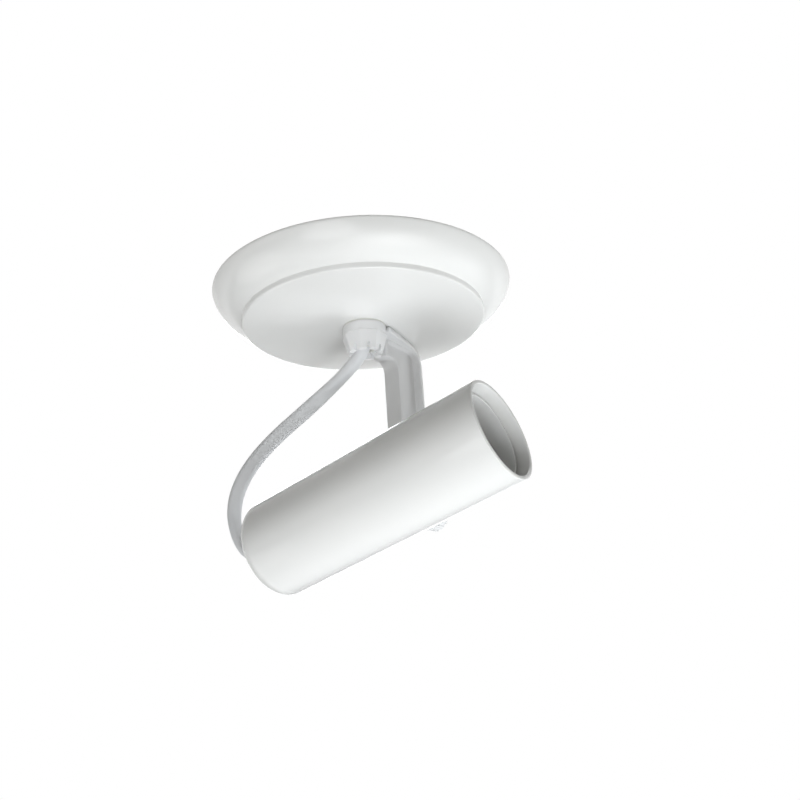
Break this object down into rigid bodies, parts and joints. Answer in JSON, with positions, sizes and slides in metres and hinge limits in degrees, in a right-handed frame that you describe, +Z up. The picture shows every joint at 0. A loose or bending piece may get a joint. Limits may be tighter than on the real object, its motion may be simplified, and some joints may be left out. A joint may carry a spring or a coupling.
{
  "type": "surface mounted ceiling spotlight",
  "caption": "Adjustable ceiling spot: round canopy, L-shaped arm that swivels, cylindrical lamp tube that tilts on a knob-clamped bolt, and a free cord between them.",
  "frame": {"origin": "on the ceiling plane, at the centre of the canopy and of the crossbar's two slots", "axes": "+Z up out of the ceiling face, +X towards the side that the lamp's mouth faces at rest, +Y towards the side where the arm hangs down; the swivel axis is Z and the tilt axis is parallel to Y"},
  "size_m": [0.1335, 0.12, 0.1164],
  "materials": {
    "white_enamel": "gloss white enamel on pressed and drawn metal",
    "white_plastic": "white moulded plastic, satin to gloss",
    "white_nylon": "natural white nylon",
    "cord_sheath": "cool pale grey-white flexible PVC",
    "lead_sheath": "coloured flexible PVC",
    "zinc_steel": "bright zinc plate",
    "brass": "bare brass",
    "ceramic": "unglazed steatite",
    "lamp_silver": "bright reflector",
    "lamp_glass": "clear pressed glass"
  },
  "bodies": {
    "canopy_assembly": {"canopy": "white_enamel", "ceiling_bracket": "zinc_steel", "nipple": "zinc_steel", "upper_locknut": "zinc_steel", "lower_locknut": "zinc_steel", "terminal_block": "white_nylon", "terminal_inserts": "brass", "terminal_screws": "zinc_steel", "block_screw": "zinc_steel", "supply_leads": "lead_sheath", "friction_washer": "white_nylon", "wave_washer": "zinc_steel", "swivel_nut": "zinc_steel"},
    "arm_assembly": {"arm": "white_plastic", "cord_grip": "white_plastic", "grip_insert": "white_nylon", "cord": "cord_sheath"},
    "head_assembly": {"head_tube": "white_enamel", "rear_bush": "white_nylon", "front_ring": "white_enamel", "lamp_reflector": "lamp_silver", "lamp_lens": "lamp_glass", "lamp_base": "ceramic", "lamp_pins": "brass", "lampholder": "ceramic", "holder_contacts": "brass", "holder_bracket": "zinc_steel", "holder_screws": "zinc_steel", "head_leads": "lead_sheath", "pivot_bolt": "zinc_steel", "pivot_saddle": "white_nylon", "pivot_washer": "zinc_steel"},
    "knob_assembly": {"tilt_knob": "white_plastic", "knob_insert": "brass"}
  },
  "joints": [
    {"name": "arm_swivel", "type": "hinge", "parent": "canopy_assembly", "child": "arm_assembly", "pos_m": [0, 0, -0.0149], "axis": [0, 0, 1], "range_deg": [-175, 175]},
    {"name": "head_tilt", "type": "hinge", "parent": "arm_assembly", "child": "head_assembly", "pos_m": [0, -0.003, -0.0865], "axis": [0, 1, 0], "range_deg": [-30, 104], "deforming": ["cord"]},
    {"name": "knob_turn", "type": "hinge", "parent": "head_assembly", "child": "knob_assembly", "pos_m": [0, 0.03, -0.0865], "axis": [0, 1, 0], "range_deg": [0, 360]}
  ]
}
